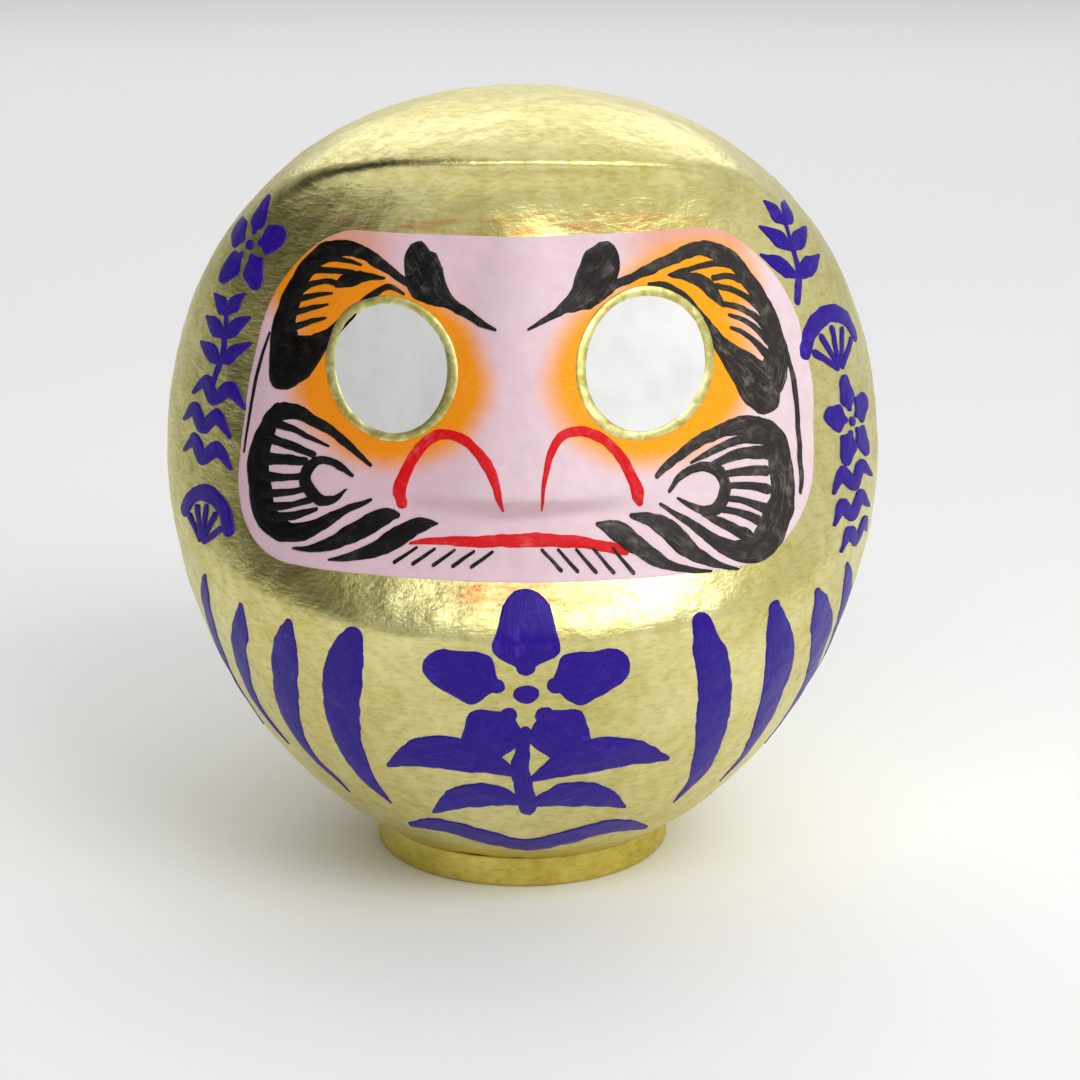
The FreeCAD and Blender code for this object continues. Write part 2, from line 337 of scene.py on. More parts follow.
def patch_tree():
    """Lays a flat closed sheet (arc, level, height) of paint or paper on the skin."""
    tree = ShapeTree("sheet_on_skin", {
        "Geometry": ("Geometry", None), "Skin": ("Object", None), "Finish": ("Material", None)})
    _, _, height = tree.separate(tree.position)
    landed = tree.land(tree.position, height)
    return tree.finish(tree.node("GeometryNodeSetPosition", None, tree.given["Geometry"], Position=landed))


def stroke_tree():
    """Turns flat brush strokes (arc, level, with a radius) into thin domed paint on the skin."""
    tree = ShapeTree("strokes_on_skin", {
        "Geometry": ("Geometry", None), "Skin": ("Object", None), "Finish": ("Material", None),
        "Ground": ("Float", 0.0), "Thickness": ("Float", 0.0003), "Layer": ("Float", 0.000012),
        "Edge wander": ("Float", 0.0005), "Edge scale": ("Float", 190.0), "Seed": ("Float", 0.0)})
    given = tree.given
    circle = tree.node("GeometryNodeCurvePrimitiveCircle", {"mode": "RADIUS"}, Resolution=24, Radius=1.0)
    section, section_place = tree.node(
        "GeometryNodeCaptureAttribute", {"captured": {"place": "VECTOR"}},
        circle, tree.position, out=(0, 1))
    length = tree.node("GeometryNodeSplineParameter", out="Length")
    radius = tree.node("GeometryNodeInputRadius")
    path, run, half_width = tree.node(
        "GeometryNodeCaptureAttribute", {"captured": {"length": "FLOAT", "radius": "FLOAT"}},
        given["Geometry"], length, radius, out=(0, 1, 2))
    path, number = tree.node(
        "GeometryNodeCaptureAttribute", {"domain": "CURVE", "captured": {"number": "INT"}},
        path, tree.node("GeometryNodeInputIndex"), out=(0, 1))
    swept = tree.node("GeometryNodeCurveToMesh", None, path, section, Scale=radius, Fill_Caps=True)

    arc, level, lift = tree.separate(tree.position)
    drift = tree.combine(arc, level, number * 0.37 + given["Seed"])
    wander = tree.node("ShaderNodeTexNoise", {"normalize": False}, Vector=drift,
                       Scale=given["Edge scale"], Detail=2.0, out="Color")
    amount = given["Edge wander"] * (half_width / (2.0 * MM)).math("MINIMUM", 1.0)
    flat = tree.vector("ADD", tree.combine(arc, level, 0.0), tree.vector("SCALE", wander, Scale=amount))

    across, _, _ = tree.separate(section_place)
    side = lift / half_width
    dome = side.math("ABSOLUTE") ** 0.4
    marks = tree.combine(across * 7.0, run * 70.0, number)
    bristles = tree.node("ShaderNodeTexNoise", {"normalize": False}, Vector=marks, Scale=1.0, Detail=3.0)
    thickness = given["Thickness"] * (bristles * 0.35 + 1.0)
    above = dome * thickness + number * given["Layer"] - STROKE_EDGE_UNDER * MM
    above = above + given["Ground"]
    height = tree.node("GeometryNodeSwitch", {"input_type": "FLOAT"}, side.math("GREATER_THAN", -0.01),
                       -STROKE_UNDER * MM, above)
    landed = tree.node("GeometryNodeSetPosition", None, swept, Position=tree.land(flat, height))
    mark = tree.combine(run / MM, across, number)
    stored = tree.node("GeometryNodeStoreNamedAttribute", {"data_type": "FLOAT_VECTOR"}, landed,
                       Name="stroke", Value=mark)
    return tree.finish(stored)


# ------------------------------------------------------------------ meshes

def loft(name, rings, poles=None):
    """A closed mesh through rings of points in millimetres: a loop of rings, or one with two poles."""
    around = len(rings[0])
    points = np.concatenate(rings)
    faces = []
    for ring in range(len(rings) if poles is None else len(rings) - 1):
        low = ring * around
        high = (ring + 1) % len(rings) * around
        for step in range(around):
            after = (step + 1) % around
            faces.append((low + step, low + after, high + after, high + step))
    if poles is not None:
        first_pole = len(points)
        last = (len(rings) - 1) * around
        points = np.vstack([points, poles])
        for step in range(around):
            after = (step + 1) % around
            faces.append((first_pole, after, step))
            faces.append((last + step, last + after, first_pole + 1))
    mesh = bpy.data.meshes.new(name)
    mesh.from_pydata((points * MM).tolist(), [], faces)
    mesh.update()
    piece = bpy.data.objects.new(name, mesh)
    bpy.context.scene.collection.objects.link(piece)
    return piece


def place_piece(piece, slot, *replaced):
    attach(piece, "root")
    if replaced:
        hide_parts(*replaced)


def side_levels(count):
    """Levels evenly spaced along the front's profile, from the shell's bottom to its crown."""
    fine = np.linspace(SHELL_BOTTOM, HEIGHT, 4000)
    profile = FORM.radius(np.zeros_like(fine), fine)
    steps = np.hypot(np.diff(profile), np.diff(fine))
    length = np.concatenate([[0.0], np.cumsum(steps)])
    return np.interp(np.linspace(0.0, length[-1], count), length, fine)


def build_skin(finish):
    """The shell as a closed wall: an inner skin down from the crown, and the outer one up to it."""
    around, outer_rows, inner_rows = 330, 250, 40
    front_crowding, foot_thickening, least_reach = 0.35, 0.6, 0.05
    turn = np.linspace(0.0, 2.0 * math.pi, around, endpoint=False)
    angle = turn - front_crowding * np.sin(turn)
    rings = []
    for level in side_levels(inner_rows)[-2::-1]:
        ring = FORM.points(angle, np.full_like(angle, level))
        share = (level - SHELL_BOTTOM) / (HEIGHT - SHELL_BOTTOM)
        spread = np.hypot(ring[:, 0], ring[:, 1])
        wall = SHELL_WALL * (1.0 + foot_thickening * (1.0 - share))
        ring[:, :2] *= np.clip(1.0 - wall / spread, least_reach, 1.0)[:, None]
        ring[:, 2] -= SHELL_WALL * share ** 3
        rings.append(ring)
    for level in side_levels(outer_rows)[:-1]:
        rings.append(FORM.points(angle, np.full_like(angle, level)))
    flat = loft("skin_form", rings, [[0.0, 0.0, HEIGHT - SHELL_WALL], [0.0, 0.0, HEIGHT]])
    return paper_tree().made("body_skin", flat, Finish=finish)


def build_foot(finish):
    """The foot: a low ring with rounded edges, turned about the doll's axis.

    It laps a little way up the shell, which leaves no crevice between them."""
    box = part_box("foot_ring")
    lap, bore, around = 0.7, 36.5, 288
    outer = float(box[1][0]) / MM
    top = float(box[1][2]) / MM + lap
    angles = np.linspace(0.0, 2.0 * math.pi, around, endpoint=False)
    rings = []
    corners = [(outer, 0.0, -90.0, 1.4), (outer, top, 0.0, 0.6),
               (bore, top, 90.0, 1.0), (bore, 0.0, 180.0, 1.0)]
    for radius, level, start, edge_radius in corners:
        middle = radius - math.copysign(edge_radius, radius - bore - 1.0)
        centre = level - math.copysign(edge_radius, level - 1.0)
        for turn in np.radians(start + np.linspace(0.0, 90.0, 7)):
            reach = middle + edge_radius * math.cos(turn)
            height = np.full(around, centre + edge_radius * math.sin(turn))
            rings.append(np.column_stack([reach * np.cos(angles), reach * np.sin(angles), height]))
    return paper_tree().made("foot", loft("foot_form", rings), Finish=finish, Swell=0.0003, Dents=0.0002)


# ------------------------------------------------------------------ sheets on the skin

def catmull_rom(before, start, stop, after, share):
    square = share * share
    return 0.5 * (2.0 * start + (stop - before) * share
                  + (2.0 * before - 5.0 * start + 4.0 * stop - after) * square
                  + (3.0 * start - before - 3.0 * stop + after) * square * share)


def rounded_outline(corners, count):
    """A closed outline through (arc, level) corners rounded by arcs, as evenly spaced places."""
    fine = []
    for index, (arc, level, radius) in enumerate(corners):
        corner = np.array([arc, level])
        before = np.array(corners[index - 1][:2]) - corner
        after = np.array(corners[(index + 1) % len(corners)][:2]) - corner
        before = before / np.hypot(*before)
        after = after / np.hypot(*after)
        half_angle = math.acos(before @ after) / 2.0
        inwards = (before + after) / np.hypot(*(before + after))
        middle = corner + inwards * radius / math.sin(half_angle)
        start = corner + before * radius / math.tan(half_angle) - middle
        swing = math.pi - 2.0 * half_angle
        for turn in math.atan2(start[1], start[0]) + np.linspace(0.0, swing, 24):
            fine.append(middle + radius * np.array([math.cos(turn), math.sin(turn)]))
    fine = np.array(fine + fine[:1])
    length = np.concatenate([[0.0], np.cumsum(np.hypot(*np.diff(fine, axis=0).T))])
    places = np.linspace(0.0, length[-1], count, endpoint=False)
    return np.stack([np.interp(places, length, fine[:, axis]) for axis in (0, 1)], -1)


def drawn_oval(across, level, half_across, half_level, wobble, phase, count=160):
    """A hand-drawn oval seen from the front, as (arc, level) places."""
    loop = []
    for turn in np.linspace(0.0, 2.0 * math.pi, count, endpoint=False):
        drawn = 1.0 + wobble * (math.sin(3.0 * turn + phase) + 0.6 * math.sin(5.0 * turn + 2.0 * phase))
        place = level + half_level * drawn * math.sin(turn)
        loop.append((FORM.arc(across + half_across * drawn * math.cos(turn), place), place))
    return np.array(loop)


def sheet_rings(outer, heart, shares, heights):
    """Rings between an outer outline and its heart, which is a smaller outline or one point."""
    rings = []
    for share, height in zip(shares, heights):
        flat = outer * (1.0 - share) + heart * share
        rings.append(np.column_stack([flat, np.full(len(outer), height)]))
    return rings


def filled_sheet(name, outline, rows, ground, thickness, skin, finish):
    """A sheet of paint or paper inside an outline, sunk a little into the skin."""
    edge = np.array([0.0, 0.0015, 0.004, 0.009])
    shares = np.concatenate([edge, np.linspace(0.02, 1.0, rows)[:-1]])
    heights = ground + thickness * np.sqrt(np.minimum(shares / edge[-1], 1.0))
    centre = outline.mean(axis=0)
    under = sheet_rings(outline, centre, shares[::-1], np.full(len(shares), SHEET_UNDER))
    over = sheet_rings(outline, centre, shares, heights)
    poles = [[*centre, SHEET_UNDER], [*centre, ground + thickness]]
    return patch_tree().made(name, loft(name + "_flat", under + over, poles), Skin=skin, Finish=finish)


def ring_sheet(name, outer, inner, rows, ground, thickness, skin, finish):
    """A domed band of paint between two outlines."""
    shares = np.linspace(0.0, 1.0, rows)
    heights = ground + thickness * np.sin(math.pi * shares) ** 0.5
    under = sheet_rings(outer, inner, shares[::-1], np.full(rows, SHEET_UNDER))
    over = sheet_rings(outer, inner, shares, heights)
    return patch_tree().made(name, loft(name + "_flat", under + over), Skin=skin, Finish=finish)


# ------------------------------------------------------------------ brush strokes

def brush_path(marks):
    """A smooth path through (arc, level, half width) marks, with round ends."""
    marks = np.asarray(marks, dtype=float)
    line = np.vstack([2.0 * marks[0] - marks[1], marks, 2.0 * marks[-1] - marks[-2]])
    path = []
    for index in range(len(line) - 3):
        run = np.hypot(*(line[index + 2] - line[index + 1])[:2])
        count = max(2, round(run / STROKE_STEP))
        path += [catmull_rom(*line[index:index + 4], share) for share in np.arange(count) / count]
    path = np.array(path + [marks[-1]])
    path[:, 2] = np.maximum(path[:, 2], 0.12)
    start = round_end(path[0], path[0] - path[1])[::-1]
    return np.vstack([start, path, round_end(path[-1], path[-1] - path[-2])])


def round_end(tip, outwards):
    direction = outwards[:2] / np.hypot(*outwards[:2])
    points = []
    for turn in np.radians([25.0, 45.0, 62.0, 76.0, 86.0]):
        place = tip[:2] + direction * tip[2] * math.sin(turn)
        points.append([*place, tip[2] * math.cos(turn)])
    return np.array(points)


def painted(name, strokes, skin, finish, **values):
    """Brush strokes as one piece of paint on the skin."""
    curve = bpy.data.curves.new(name + "_paths", "CURVE")
    curve.dimensions = "3D"
    for marks in strokes:
        path = brush_path(marks)
        spline = curve.splines.new("POLY")
        spline.points.add(len(path) - 1)
        for point, (arc, level, half_width) in zip(spline.points, path):
            point.co = (arc * MM, level * MM, 0.0, 1.0)
            point.radius = half_width * MM
    source = bpy.data.objects.new(name + "_paths", curve)
    bpy.context.scene.collection.objects.link(source)
    return STROKES_ON_SKIN.made(name, source, Skin=skin, Finish=finish, **values)


STROKES_ON_SKIN = stroke_tree()


# ------------------------------------------------------------------ what the brush drew
# Each mark is (arc, level, half width). The arc is 100 for each radian round the doll from its
# front, positive towards +X, and the level is the height above the table.

BROW_LEFT = [
    [(-40, 191.5, .9), (-49, 195.1, 1.2), (-59, 199.3, 1.7), (-69, 201.7, 2.1), (-79, 200.8, 2.8),
     (-84, 197.5, 3.3), (-87.5, 193, 3.6), (-90, 186, 3.9), (-90.6, 179, 4.8), (-88.8, 173, 5.9),
     (-87, 167, 6.2)],
    [(-85.5, 167.6, 6.6), (-81, 170.9, 6.6), (-76.6, 174, 4.4), (-72.5, 177.5, 2.4), (-66.5, 182.5, 1.7),
     (-61, 187.5, 1.4), (-56, 191, 1.1), (-52, 192.3, .9), (-46, 190.6, .4)],
    [(-42, 199.6, 5.8), (-40.5, 197.7, 7), (-38.2, 195.6, 7), (-35.2, 193.6, 5.8), (-31.5, 191.2, 3.6),
     (-27, 188.7, 1.9), (-20.5, 186.4, 1.4), (-15, 184.2, 1.2), (-9.4, 182.7, .4)],
    [(-84, 196.5, 1.5), (-78, 198.6, 1), (-71, 198.6, .7), (-64.5, 197.7, .35)],
    [(-86, 193.5, 1.4), (-82.5, 195.1, 1), (-72.6, 195.4, .8), (-67, 195.4, .8)],
    [(-72.5, 191.8, 1), (-70, 193, 1.9), (-66, 194, 2), (-61, 194.6, 1.2), (-54.5, 194.6, .4)],
    [(-87, 189, 1.2), (-81.5, 191.5, .9), (-76, 192.3, .8), (-72, 191.8, .9)],
    [(-89, 185.5, 1.2), (-84, 187.3, .9), (-79, 188.5, .7), (-74, 189.2, .35)],
    [(-89, 181.8, 1.2), (-84, 183.7, .9), (-79.5, 184.9, .7), (-74.7, 186, .35)],
    [(-89, 178, 1.2), (-83.2, 179.7, .9), (-79, 181.2, .7), (-74.6, 182.3, .35)],
    [(-95.5, 176, .4), (-97, 166, .6), (-96.5, 155, .5), (-95, 142, .3)],
]
BROW_RIGHT = [
    [(2, 183, .4), (12.5, 187, 1.2), (25, 190.7, 1.6), (39, 194.4, 1.2), (54, 198.4, 1.6),
     (67, 201.4, 1.9), (73.5, 201.7, 2.1), (80.5, 200, 2.6), (85.5, 196.8, 3), (91, 188, 3.2),
     (94, 179, 3.3), (94.5, 171, 4), (92.5, 166.5, 5), (90, 163, 4.6)],
    [(49.2, 193.4, .5), (55, 192.8, 1), (60, 190.6, 1.2), (64, 187.4, 1.4), (70.3, 179.2, 2),
     (73, 175, 2.9), (77, 170.5, 4.4), (81, 166.4, 6.2), (84, 163, 7.4), (85.6, 161, 7)],
    [(33, 199.9, 6), (31.2, 198.2, 7.1), (29.2, 196.4, 7.4), (27, 194.6, 6.8), (24.4, 192.6, 5.8),
     (21, 190.6, 4), (17, 188.8, 2.3), (12.5, 187.2, 1)],
    [(88, 195.5, 1.4), (77, 197.3, .9), (63.5, 196.3, .7), (57.3, 195.4, .35)],
    [(58, 195.2, .4), (65, 194.5, 1.3), (70.5, 192.5, 2.1), (73.8, 189.5, 2.3), (76.4, 186.2, 1)],
    [(90, 190, 1.4), (86.5, 191.8, 1.1), (81.3, 193.4, .9), (75, 193.4, .9)],
    [(76, 191.2, .9), (82.3, 189.4, .9), (87.5, 186.6, 1.1), (91, 183.5, 1.5)],
    [(77, 186, .8), (82.5, 184.8, .9), (87.8, 181.7, 1.1), (92, 177.5, 1.5)],
    [(78.3, 182.9, .5), (83.5, 181, .8), (87.8, 178, 1), (92, 173.5, 1.5)],
    [(78.2, 179.3, .5), (82.3, 177.7, .8), (86, 174.7, 1), (90, 170.5, 1.5)],
    [(97.5, 174, .4), (98.3, 163, .9), (96.8, 152, .8), (93.6, 137, .9), (91.3, 131, .5)],
]
BEARD_LEFT = [
    [(-88, 151, 3.2), (-85.5, 154.6, 2.8), (-80.5, 155.6, 2.3), (-75, 154.6, 1.7), (-66, 151.6, 1.4),
     (-59.5, 148.7, 1.2), (-49.8, 143.6, .5)],
    [(-86, 155, 2.4), (-88.8, 147, 3.8), (-89.2, 142, 3.9), (-88, 137, 4), (-83.3, 128, 4),
     (-79.3, 124.5, 3.6), (-74, 122.8, 3), (-69, 123.3, 2.6), (-65, 125, 2.3), (-57.5, 129.8, 1.5),
     (-48.4, 134.2, .5)],
    [(-86, 151.5, 1.5), (-80, 151, 1), (-74.5, 149.7, .8), (-65.6, 147.3, .35)],
    [(-86, 147, 1.6), (-81, 146.6, 1.3), (-70, 144.6, 1)],
    [(-86, 141.5, 1.8), (-79, 142.3, 1.4), (-72.5, 142.5, 1.2)],
    [(-86, 136.2, 1.6), (-78, 137.3, 1.1), (-72, 138.2, 1)],
    [(-84, 131.8, 1.4), (-76, 133.5, 1), (-71, 135, 1)],
    [(-81, 128.6, 1.3), (-73.5, 130.4, 1), (-68, 132.3, 1)],
    [(-78, 126, 1.4), (-70.5, 128, 1.1), (-65.5, 130, .6)],
    [(-55.5, 140.3, .5), (-60, 142.2, 1), (-64, 143.4, 1.1), (-68.5, 143, 1.4), (-71.2, 140, 1.9),
     (-70.4, 136, 1.9), (-65.6, 132.9, 1.5), (-61, 133, 1.2), (-56.8, 136.3, .25)],
    [(-69.7, 118.8, .3), (-63.5, 119.7, 1.1), (-57, 122.3, 2.2), (-51, 125.7, 3), (-46, 128.8, 3),
     (-41.5, 130.6, 1.8), (-39.3, 130.5, .8)],
    [(-57.7, 117.2, .3), (-51, 118.8, 1.3), (-44.5, 121, 2.3), (-39.2, 124.2, 2.9), (-34.8, 127.1, 2.7),
     (-30, 128.9, 1.6), (-26.3, 129.2, .3)],
]
BEARD_RIGHT = [
    [(43.6, 141, .8), (48.7, 144, 1.3), (55.2, 147.2, 1.5), (62.6, 149.9, 1.7), (69.6, 151.6, 2),
     (76, 152, 2.6), (82, 151, 3), (86, 148, 3.4)],
    [(82, 151.5, 2.5), (86, 148.5, 3.5), (87.3, 144.5, 4.2), (86.5, 137, 4.4), (84.3, 130, 4.4),
     (81, 125.5, 4.8), (77, 121.3, 4.6), (71.5, 118.3, 3.8), (66, 118.2, 3), (61, 120.6, 2.3),
     (53, 127, 1.3), (44, 133.3, .5)],
    [(47.4, 136.6, .6), (51.2, 139.8, 1), (56.5, 141.8, 1.2), (61.5, 142, 1.5), (65.2, 140, 1.9),
     (66.2, 135.5, 1.9), (62.4, 130.9, 1.7), (58.4, 130.2, 1.4), (54.3, 131.7, 1), (50, 134.3, .4)],
    [(56.2, 143.6, .4), (62, 145.5, .9), (68.6, 147.2, 1.1), (76, 148.2, 1.5), (84, 147.5, 2)],
    [(64, 142.6, 1), (70.5, 144, 1.4), (77, 144.4, 1.8), (84, 143.5, 2.2)],
    [(67, 139.4, 1), (73.5, 139.5, 1.2), (81, 138.7, 1.6)],
    [(67, 136, .9), (73, 135.6, 1.1), (80, 133.7, 1.5)],
    [(66, 132.8, .9), (71.6, 131.5, 1), (77.5, 128.7, 1.5)],
    [(62.5, 130.1, .9), (68.5, 128.8, 1), (74.5, 125.8, 1.5)],
    [(57, 129.4, .6), (64, 125.6, 1.5), (69.5, 122.3, 2)],
    [(34.5, 130.6, .8), (40, 129.4, 2), (45, 126.2, 3), (48.8, 122.5, 3), (53, 118.8, 2.1),
     (58.3, 115.8, 1), (64, 113.8, .3)],
    [(23.2, 129, .6), (29, 127, 2.7), (33.8, 123.4, 2.9), (38.5, 120, 2.3), (43.8, 116.9, 1.3),
     (50, 115.2, .8), (55.5, 114.4, .3)],
]
CHIN_HAIRS = [[(start, 118.2, .6), (start + 6, 122.5, .45)] for start in (-38, -32.4, -26.3, -20.5, -14.9)]
CHIN_HAIRS += [[(start, 123.2 - 0.1 * rank, .45), (start + 5.4, 117.5 - 0.4 * rank, .6)]
               for rank, start in enumerate((5.8, 10.6, 16, 21.2, 27))]
NOSTRIL_LEFT = [
    [(-38.2, 134.4, 1.9), (-38.8, 138, 2.3), (-37.5, 142.5, 2.1), (-35.2, 147.2, 1.9), (-32, 151, 1.7),
     (-28, 153.4, 1.5), (-23, 153.9, 1.4), (-17.5, 152.6, 1.4), (-13.3, 149.8, 1.5), (-10, 146, 1.5),
     (-7.5, 140.5, 1.2), (-6, 134.2, .5)],
]
NOSTRIL_RIGHT = [
    [(5.9, 134, .3), (6, 139.6, .6), (7, 145.1, .9), (9, 150.6, 1.2), (12, 154, 1.3), (15.8, 155.4, 1.3),
     (19.8, 155.3, 1.4), (24.5, 153.3, 1.5), (29.3, 150, 1.6), (32.8, 145.8, 1.8), (35, 141, 2),
     (36.6, 136.4, 2), (37.2, 134.4, 1.3)],
]
MOUTH = [
    [(-34, 123.6, .4), (-28, 124.6, 1), (-20, 125, 1.3), (-10, 125.4, 1.6), (0, 125.8, 1.75),
     (10, 125.5, 1.7), (20, 124.4, 1.5), (27, 122.8, 1.5), (31, 121.6, 1)],
]
ROBE_LEFT = [
    [(-46.5, 98, 3), (-49.5, 91.8, 5.2), (-52.7, 83.3, 6.4), (-55.4, 74.7, 6.5), (-57.7, 66, 6.1),
     (-58.8, 57, 5.5), (-58.1, 49, 4.4), (-56.2, 41.7, 2.6), (-53.5, 36, .3)],
    [(-68.5, 97.5, 1.5), (-71.5, 90, 4.4), (-74.3, 83.3, 5.4), (-77.1, 75.5, 5.2), (-80.5, 67.4, 4.9),
     (-83, 59, 4.4), (-83.4, 52, 3.4), (-82, 46.5, 2.4), (-78, 41.5, 1.6), (-75, 35.5, .3)],
    [(-88.5, 98, 1), (-91.5, 91, 3.4), (-96.5, 83, 4), (-101.5, 73.5, 4.4), (-104.5, 66, 3.8),
     (-105, 60, 3), (-102, 54, 1.8), (-98, 48, .4)],
    [(-108, 102, .8), (-111, 96, 3), (-115, 88, 4), (-120, 78, 4.2), (-124, 68, 3.6), (-124, 58, 2.6),
     (-119, 49, .6)],
]
ROBE_RIGHT = [
    [(49.5, 101.5, 3), (51.6, 94.6, 4.4), (55.5, 86.6, 5.5), (58.2, 78.2, 6), (60.8, 69.6, 6.3),
     (64, 60.1, 6.1), (67, 50.5, 5.3), (68.8, 42.4, 3.8), (66, 33.5, .5)],
    [(74.5, 101, 2.5), (78, 93, 4.8), (81.8, 85, 6.2), (84.8, 77.5, 6.6), (86.7, 70, 6.6),
     (88.8, 62, 5.8), (91.8, 52.5, 4.3), (93, 44.5, 2.9), (90, 36, .4)],
    [(94, 101, 1.5), (99.5, 93, 5), (106, 85, 6.6), (111.5, 77, 6.8), (116, 69, 6.2), (119, 60, 5),
     (119, 51, 3.4), (115, 43, .5)],
    [(113, 104, 1), (119, 96, 4), (125, 88, 5.5), (131, 79, 5.8), (135, 70, 5), (136, 61, 3.6),
     (132, 52, .6)],
]

# ------------------------------------------------------------------ ornaments
# Each is drawn about its own centre, with marks in millimetres on the surface: right, up, half width.

def petals(count, inner, outer, half_width):
    """Round petals about a centre, the first of them upright."""
    strokes = []
    for step in range(count):
        turn = math.radians(90.0 + 360.0 * step / count)
        strokes.append([(reach * math.cos(turn), reach * math.sin(turn), width)
                        for reach, width in ((inner, 0.3 * half_width), (0.6 * outer, half_width),
                                             (outer, 0.8 * half_width))])
    return strokes


def blossom(size):
    """A five-petalled plum blossom round an open eye with a dot in it."""
    dot = [(-0.02 * size, 0, .1 * size), (0.02 * size, 0, .1 * size)]
    return petals(5, 0.3 * size, 0.76 * size, 0.3 * size) + [dot]


def sprig(size):
    """A bent twig with leaves in pairs."""
    stem = [(-0.15, -1.0, .1), (0.05, -0.3, .09), (0.0, 0.5, .07)]
    twig = [[(right * size, up * size, width * size) for right, up, width in stem]]
    for level, reach in ((-0.55, 0.85), (0.0, 0.75), (0.5, 0.5)):
        for side in (-1.0, 1.0):
            twig.append([(0, level * size, .05 * size),
                         (side * 0.4 * reach * size, (level + 0.2) * size, .2 * size),
                         (side * reach * size, (level + 0.42) * size, .04 * size)])
    return twig


def waves(size):
    """Three rolling waves, one above another."""
    rows = []
    for rank, level in enumerate((-0.7, 0.0, 0.7)):
        shift = 0.25 * (rank % 2)
        rows.append([((across - shift) * size, (level + lift) * size, width * size)
                     for across, lift, width in ((-1.0, -0.12, .06), (-0.55, 0.2, .19), (-0.05, -0.1, .18),
                                                 (0.45, 0.2, .19), (1.05, -0.15, .05))])
    return rows


def fan(size):
    """An open folding fan: ribs under a broad arc."""
    hub = -0.75 * size
    ribs = []
    for turn in np.radians([35.0, 62.5, 90.0, 117.5, 145.0]):
        ribs.append([(0.15 * size * math.cos(turn), hub + 0.15 * size * math.sin(turn), .07 * size),
                     (0.95 * size * math.cos(turn), hub + 0.95 * size * math.sin(turn), .1 * size)])
    arc = [(1.3 * size * math.cos(turn), hub + 1.3 * size * math.sin(turn), .21 * size)
           for turn in np.radians([150.0, 130.0, 110.0, 90.0, 70.0, 50.0, 30.0])]
    return ribs + [arc]


def drawn_at(ornament, arc, level, turned=0.0):
    """An ornament moved to a place on the doll, with its widths true to the local girth."""
    girth = float(FORM.radius(np.array([arc / UNROLL_RADIUS]), np.array([float(level)]))[0]) / UNROLL_RADIUS
    cosine = math.cos(math.radians(turned))
    sine = math.sin(math.radians(turned))
    return [[(arc + (right * cosine - up * sine) / girth, level + right * sine + up * cosine, half_width)
             for right, up, half_width in marks] for marks in ornament]


SIDE_ORNAMENTS_LEFT = (drawn_at(blossom(14.5), -114, 199) + drawn_at(sprig(13.5), -115, 172, 8.0)
                       + drawn_at(waves(12.5), -112, 147) + drawn_at(fan(11.5), -107, 121))
SIDE_ORNAMENTS_RIGHT = (drawn_at(sprig(14.5), 112, 198, -8.0) + drawn_at(fan(13.0), 120, 171)
                        + drawn_at(blossom(14.0), 121, 146) + drawn_at(waves(12.5), 117, 121))
BELLY_EMBLEM = drawn_at(blossom(30.0), 1, 83) + drawn_at([
    [(0, 19, 1.8), (-1.5, 4, 3), (1, -11, 3.6)],
    [(-2, 3, 1.2), (-15, 9, 6), (-28, 9, 5.6), (-41, 2, .8)],
    [(2, 1, 1.2), (14, 8, 6.2), (27, 9, 5.8), (42, 4, .8)],
    [(0, -9, 1.2), (-11, -6, 4.8), (-22, -9, 4.2), (-32, -16, .6)],
    [(1, -10, 1.2), (12, -6, 5), (23, -8, 4.4), (34, -14, .6)],
], 1, 51) + drawn_at([
    [(-34, 3, 1), (-24, 5, 3.2), (-12, 1, 4), (0, -3, 3.4), (13, 1, 4), (25, 4, 3.6), (40, -1, .8)],
], 1, 23)


# ------------------------------------------------------------------ finishes

def colour(red, green, blue):
    """A linear colour from screen values of 0 to 255."""
    def linear(value):
        value /= 255.0
        return value / 12.92 if value <= 0.04045 else ((value + 0.055) / 1.055) ** 2.4
    return (linear(red), linear(green), linear(blue), 1.0)


class Finish(Nodes):
    """A material made from one Principled shader."""

    def __init__(self, name, **constants):
        self.material = bpy.data.materials.new(name)
        self.material.use_nodes = True
        super().__init__(self.material.node_tree)
        self.shader = next(n for n in self.tree.nodes if n.type == "BSDF_PRINCIPLED")
        self.place = self.node("ShaderNodeTexCoord", out="Object")
        self.set(**constants)

    def set(self, **values):
        for label, value in values.items():
            self.join(value, self.shader.inputs[label.replace("_", " ")])
        return self

    def mix(self, factor, first, second):
        """A colour from first to second by a factor."""
        node = self.tree.nodes.new("ShaderNodeMix")
        node.data_type = "RGBA"
        self.join(factor, node.inputs["Factor"])
        self.join(first, node.inputs[6])
        self.join(second, node.inputs[7])
        return Wire(self, node.outputs[2])

    def bump(self, height, distance):
        """Relief of a height from 0 to 1, as deep as the distance in metres."""
        normal = self.node("ShaderNodeBump", None, Strength=1.0, Distance=distance, Height=height)
        return self.set(Normal=normal)

    def bristles(self):
        """Streaks that the brush's hairs leave along a stroke."""
        mark = self.node("ShaderNodeAttribute", {"attribute_name": "stroke"}, out="Vector")
        length, side, number = self.separate(mark)
        return self.noise(self.combine(length * 0.16, side * 9.0, number * 3.7), 1.0, 4.0)


